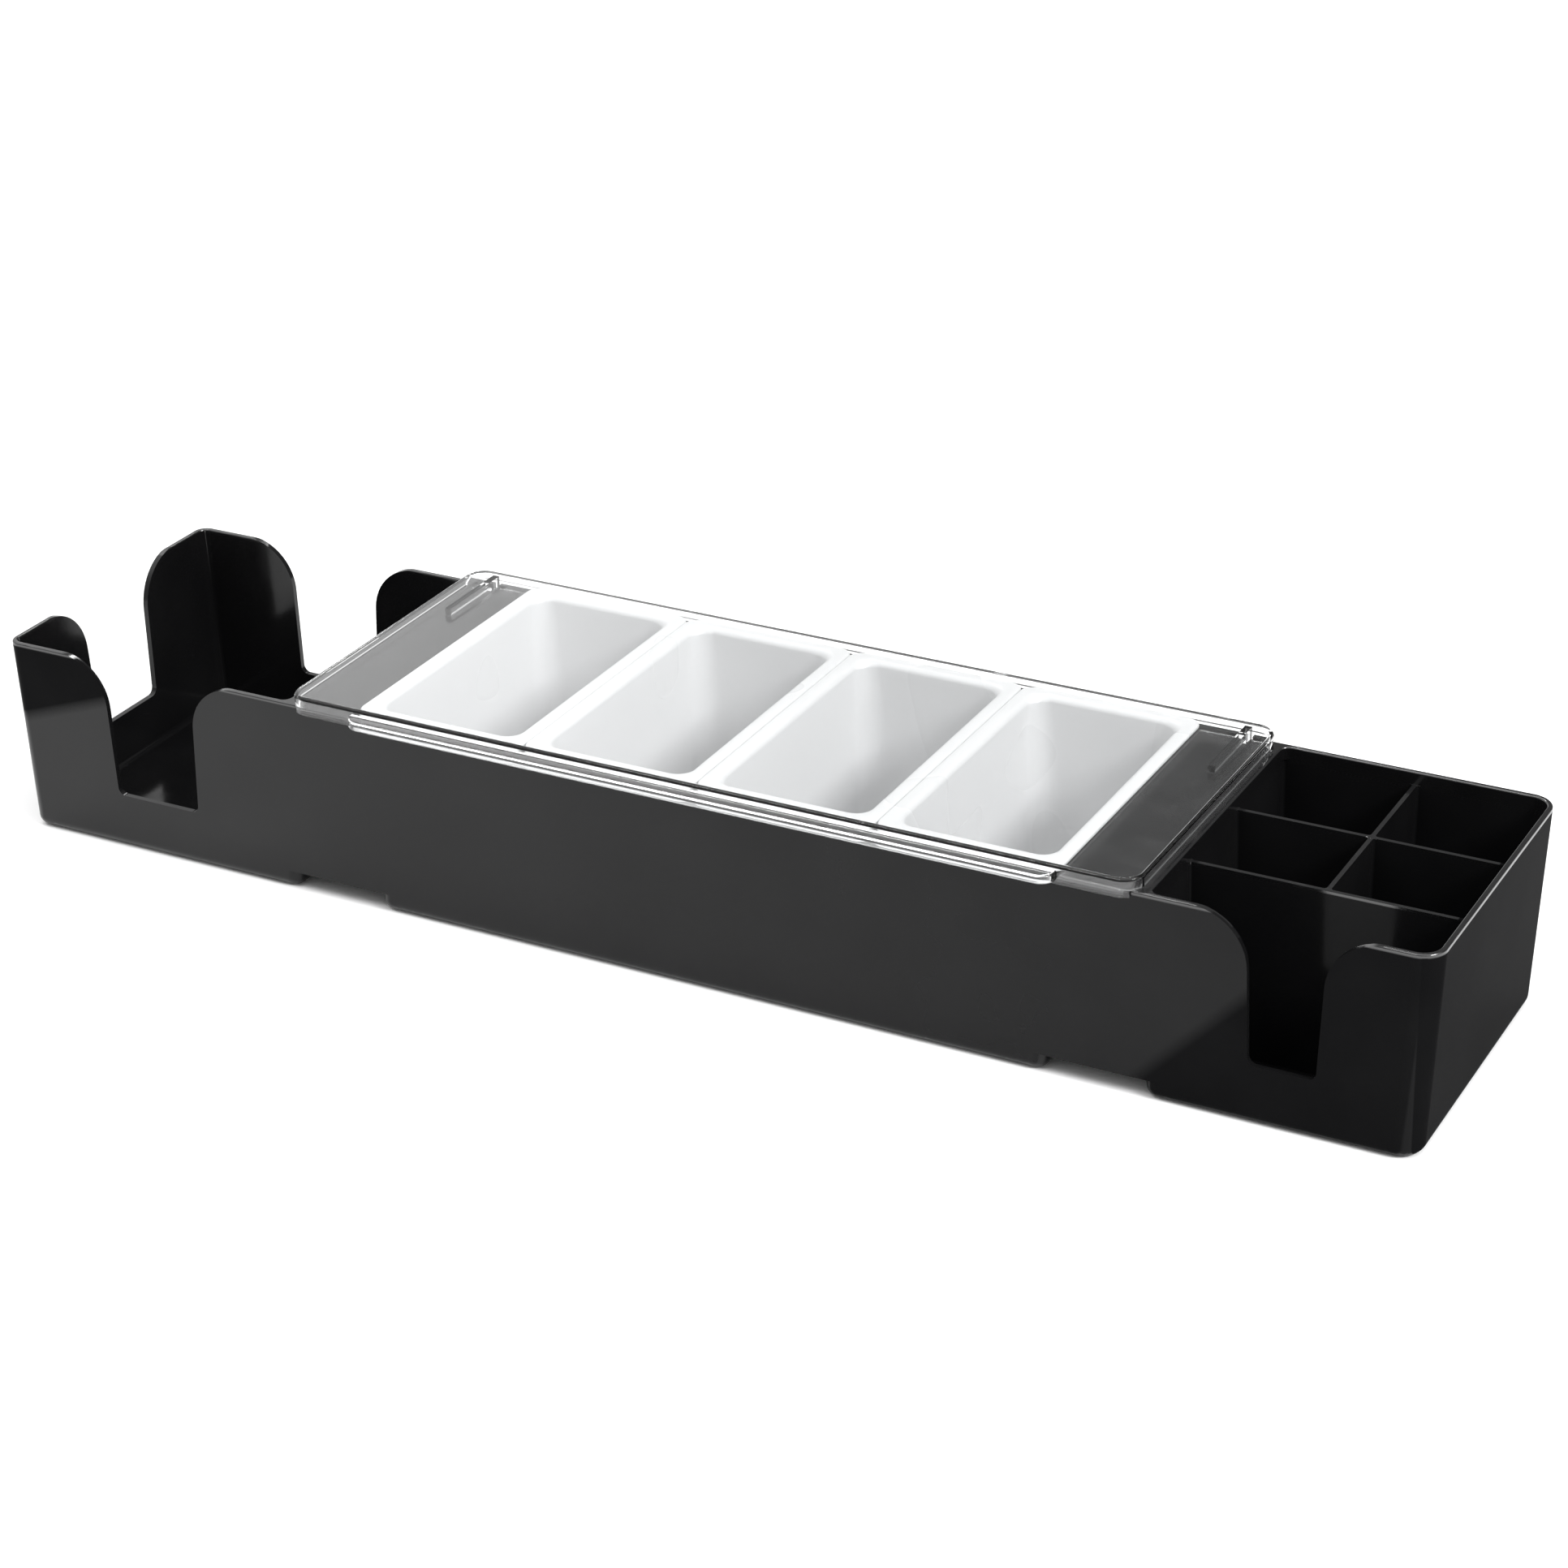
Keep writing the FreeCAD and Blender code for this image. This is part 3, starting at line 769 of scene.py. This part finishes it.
@dataclass
class Insert:
    """One white pan, worked out as rounded rectangles carried along the profile of its wall.

    All lengths are in millimetres. The profile starts under the floor, climbs outside the wall, goes round
    the flange and down the inside, and ends on the floor.
    """

    number: int
    wall: float = 1.4
    land: float = 4.4
    roll: float = 2.6
    lean: float = 5.0
    flange_round: float = 0.8
    foot_round: float = 6.0
    floor_round: float = 5.0
    flange_corner: float = 5.5
    mouth_corner: float = 8.0
    floor_corner: float = 13.0
    corner_growth: float = 0.7
    rim_slack: float = 0.01
    round_steps: int = 6
    lip_steps: int = 4
    mouth_steps: int = 8
    wall_points: int = 8
    corner_steps: int = 14
    side_steps: int = 6

    def profile(self, top: float, rim: float, foot: float) -> np.ndarray:
        """Return the wall's profile as insets from the flange's edge and heights.

        The wall's outside and inside lean in evenly from the rim to the foot. Each turn between two
        stretches is a quarter circle.

        Args:
            top: The height of the flange's upper face.
            rim: The height that the flange rests on.
            foot: The height of the foot.

        Returns:
            The profile's points as (inset, height).
        """
        step = self.land + self.roll
        skin = step - self.wall
        floor = foot + self.wall
        heel = skin + self.lean * (1 - self.foot_round / (rim - foot))
        toe = step + self.lean * (1 - self.floor_round / (top - floor))
        under = (skin + self.lean + self.foot_round, foot + self.foot_round)
        above = (step + self.lean + self.floor_round, floor + self.floor_round)
        lip = self.flange_round
        return np.concatenate([
            quarter(under, self.foot_round, 270.0, 180.0, self.round_steps),
            straight((heel, foot + self.foot_round), (skin, rim), self.wall_points),
            quarter((lip, rim + lip), lip, 270.0, 180.0, self.lip_steps),
            quarter((lip, top - lip), lip, 180.0, 90.0, self.lip_steps),
            quarter((self.land, top - self.roll), self.roll, 90.0, 0.0, self.mouth_steps),
            straight((step, top - self.roll), (toe, floor + self.floor_round), self.wall_points),
            quarter(above, self.floor_round, 180.0, 270.0, self.round_steps)[1:]])

    def corner_radii(self, points: np.ndarray, top: float, rim: float, foot: float) -> np.ndarray:
        """Return the corner radius at each point of the profile.

        On the flange it goes evenly from the flange's radius to the mouth's with the inset. Below the flange
        it goes from the mouth's to the floor's with a power of the depth.

        Args:
            points: The profile's points as (inset, height).
            top: The height of the flange's upper face.
            rim: The height that the flange rests on.
            foot: The height of the foot.

        Returns:
            One radius for each point.
        """
        inset, height = points.T
        low = np.clip((top - height) / (top - foot - self.wall), 0.0, 1.0)
        below = self.mouth_corner + (self.floor_corner - self.mouth_corner) * low ** self.corner_growth
        edge = np.clip(inset / (self.land + self.roll), 0.0, 1.0)
        on_flange = self.flange_corner * (1 - edge) + self.mouth_corner * edge
        return np.where(height > rim - self.rim_slack, on_flange, below)

    def build(self, material: bpy.types.Material) -> bpy.types.Object:
        """Build the insert where its CAD node is.

        Args:
            material: What it is made of.

        Returns:
            The finished piece.
        """
        low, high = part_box(f"insert_{self.number}")
        heights = (high.z / MM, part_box("caddy_tray")[1].z / MM, low.z / MM)
        points = self.profile(*heights)
        radius = self.corner_radii(points, *heights)
        half_x = (high.x - low.x) / 2 / MM - points[:, 0]
        half_y = (high.y - low.y) / 2 / MM - points[:, 0]
        flat = rounded_rings(half_x, half_y, radius, self.corner_steps, self.side_steps)
        height = np.broadcast_to(points[:, 1][:, None, None], flat.shape[:2] + (1,))
        rings = np.concatenate([flat, height], -1) * MM
        rings[..., 0] += (low.x + high.x) / 2
        rings[..., 1] += (low.y + high.y) / 2
        piece = mesh_object(f"insert_pan_{self.number}", rings, ring_faces(*flat.shape[:2]), material)
        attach(piece, "caddy")
        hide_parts(f"insert_{self.number}")
        return piece


# The lid


@dataclass
class Lid:
    """The clear hinged lid, which keeps its CAD shape, and the small gate mark on its back edge.

    The gate's lengths are in millimetres and its angle in degrees.
    """

    finish: ClearPlastic = field(default_factory=ClearPlastic)
    edges: EasedEdges = EasedEdges(0.18 * MM)
    gate_place: float = 81.5
    gate_drop: float = 2.6
    gate_size: Triple = (7.0, 1.0, 0.9)
    gate_around: int = 24
    gate_rings: int = 9
    gate_reach: float = 84.0
    gate_power: float = 0.55

    def dress(self) -> bpy.types.Object:
        """Give the CAD lid its material and eased edges.

        Returns:
            The dressed node.
        """
        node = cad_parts["lid"]
        self.edges.dress(node, self.finish.material())
        return node

    def gate_mark(self, material: bpy.types.Material, side: Side) -> bpy.types.Object:
        """Build the stub that the moulding's gate left on the lid's edge.

        It is a flattened dome: a point at angles (a, b) stands at the half sizes times
        (cos a cos b, sin a cos b, sin b), each raised to a power under 1, which squares the dome off.

        Args:
            material: What it is made of.
            side: The side of the lid that it stands on.

        Returns:
            The finished piece.
        """
        low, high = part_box("lid")
        half = np.array(self.gate_size) / 2 * MM
        a = np.linspace(0.0, 2 * math.pi, self.gate_around, endpoint=False)[None, :]
        b = np.radians(np.linspace(-self.gate_reach, self.gate_reach, self.gate_rings))[:, None]
        raw = np.stack([np.cos(a) * np.cos(b), np.sin(a) * np.cos(b), np.sin(b) * np.ones_like(a)], -1)
        squared = np.sign(raw) * np.abs(raw) ** self.gate_power
        edge = (high.y if side is Side.BACK else low.y) - side.value * half[1]
        centre = np.array([self.gate_place * MM, edge, high.z - self.gate_drop * MM])
        faces = ring_faces(self.gate_rings, self.gate_around)
        piece = mesh_object("lid_gate_mark", squared * half + centre, faces, material)
        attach(piece, "lid")
        return piece


# The studio


@dataclass(frozen=True)
class Camera:
    """The photograph's camera: millimetres, pixels and degrees in the frame's own axes.

    The clip distances are in metres.
    """

    place: Triple = (667.7, -1216.6, 744.0)
    pitch: float = 26.352
    yaw: float = 28.097
    roll: float = -0.997
    focal_pixels: float = 4641.0
    image_width: float = 1932.0
    sensor: float = 36.0
    clip: tuple[float, float] = (0.05, 50.0)

    def build(self) -> bpy.types.Object:
        """Add the camera.

        Its view direction is level north turned by the yaw and lowered by the pitch, and its right and up
        directions are turned about that by the roll.

        Returns:
            The camera.
        """
        pitch, yaw, roll = (math.radians(angle) for angle in (self.pitch, self.yaw, self.roll))
        ahead = Vector((-math.sin(yaw) * math.cos(pitch), math.cos(yaw) * math.cos(pitch), -math.sin(pitch)))
        right = Vector((math.cos(yaw), math.sin(yaw), 0.0))
        up = right.cross(ahead)
        turned_right = right * math.cos(roll) + up * math.sin(roll)
        turned_up = up * math.cos(roll) - right * math.sin(roll)
        data = bpy.data.cameras.new("camera")
        data.sensor_width = self.sensor
        data.lens = self.focal_pixels / self.image_width * self.sensor
        data.clip_start, data.clip_end = self.clip
        camera = bpy.data.objects.new("camera", data)
        axes = Matrix((turned_right, turned_up, -ahead)).transposed()
        camera.matrix_world = Matrix.Translation(Vector(self.place) * MM) @ axes.to_4x4()
        bpy.context.scene.collection.objects.link(camera)
        bpy.context.scene.camera = camera
        return camera


@dataclass(frozen=True)
class Softbox:
    """One rectangular light that faces the holder: metres and watts."""

    name: str
    place: Triple
    size: tuple[float, float]
    power: float

    def build(self) -> None:
        """Add the light."""
        data = bpy.data.lights.new(self.name, "AREA")
        data.shape = "RECTANGLE"
        data.size, data.size_y = self.size
        data.energy = self.power
        light = bpy.data.objects.new(self.name, data)
        light.location = self.place
        light.rotation_euler = (-Vector(self.place)).to_track_quat("-Z", "Y").to_euler()
        bpy.context.scene.collection.objects.link(light)


@dataclass(frozen=True)
class Surround:
    """The light from all round, brightest overhead, lower in front and dark behind on the right.

    Each range is one part of the direction that the light comes from, between -1 and 1.
    """

    overhead: float = 1.9
    level: float = 1.0
    dark: float = 0.2
    front: float = 0.55
    height_range: tuple[float, float] = (0.45, 0.9)
    right_range: tuple[float, float] = (-0.56, -0.36)
    behind_range: tuple[float, float] = (0.25, 0.5)
    front_range: tuple[float, float] = (-0.9, -0.2)

    def build(self) -> None:
        """Add the surround.

        Its strength climbs from the level strength to the overhead one with height. Two shares lower it: the
        dark one behind the holder, except to the left, and the front one in front.
        """
        world = bpy.data.worlds.new("surround")
        world.use_nodes = True
        bpy.context.scene.world = world
        bench = NodeBench(world.node_tree)
        x, y, z = bench.parts(bench.add("ShaderNodeTexCoord").outputs["Generated"])
        height = bench.spread(z, self.height_range, (self.level, self.overhead), Ease.SOFT)
        behind = bench.product(bench.spread(x, self.right_range, (0.0, 1.0), Ease.SOFT),
                               bench.spread(y, self.behind_range, (0.0, 1.0), Ease.SOFT))
        kept = bench.spread(behind, (0.0, 1.0), (1.0, self.dark), Ease.SOFT)
        ahead = bench.spread(y, self.front_range, (self.front, 1.0), Ease.SOFT)
        background = world.node_tree.nodes["Background"].inputs
        bench.link(bench.product(height, bench.product(kept, ahead)), background["Strength"])
        background["Color"].default_value = (1.0, 1.0, 1.0, 1.0)


@dataclass
class Studio:
    """A white sweep with soft lights under the surround, in metres."""

    floor_half: float = 12.0
    sweep: PaleSweep = field(default_factory=PaleSweep)
    surround: Surround = field(default_factory=Surround)
    softboxes: tuple[Softbox, ...] = (
        Softbox("key", (1.9, -0.4, 1.5), (0.8, 0.5), 46.0),
        Softbox("strip", (-0.5, -1.3, 2.2), (1.6, 0.2), 10.0),
        Softbox("back_strip", (-0.9, 1.5, 1.7), (1.2, 0.2), 8.0),
    )

    def build(self) -> None:
        """Add the floor, the surround and the lights."""
        half = self.floor_half
        corners = np.array([(-half, -half, 0.0), (half, -half, 0.0), (half, half, 0.0), (-half, half, 0.0)])
        mesh_object("sweep_floor", corners, [(0, 1, 2, 3)], self.sweep.material())
        self.surround.build()
        for softbox in self.softboxes:
            softbox.build()


def main() -> None:
    """Build the holder and its studio."""
    logging.basicConfig(level=logging.INFO, format="%(message)s")
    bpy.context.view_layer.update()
    bpy.context.scene.view_settings.view_transform = "Standard"
    LOG.info("tray: %s", Tray().dress().name)
    white = SatinWhite().material()
    for number in INSERT_NUMBERS:
        LOG.info("insert: %s", Insert(number).build(white).name)
    lid = Lid()
    node = lid.dress()
    LOG.info("lid: %s", node.name)
    LOG.info("lid detail: %s", lid.gate_mark(node.data.materials[0], Side.BACK).name)
    Studio().build()
    Camera().build()
    bpy.context.view_layer.update()


if __name__ == "__main__":
    main()
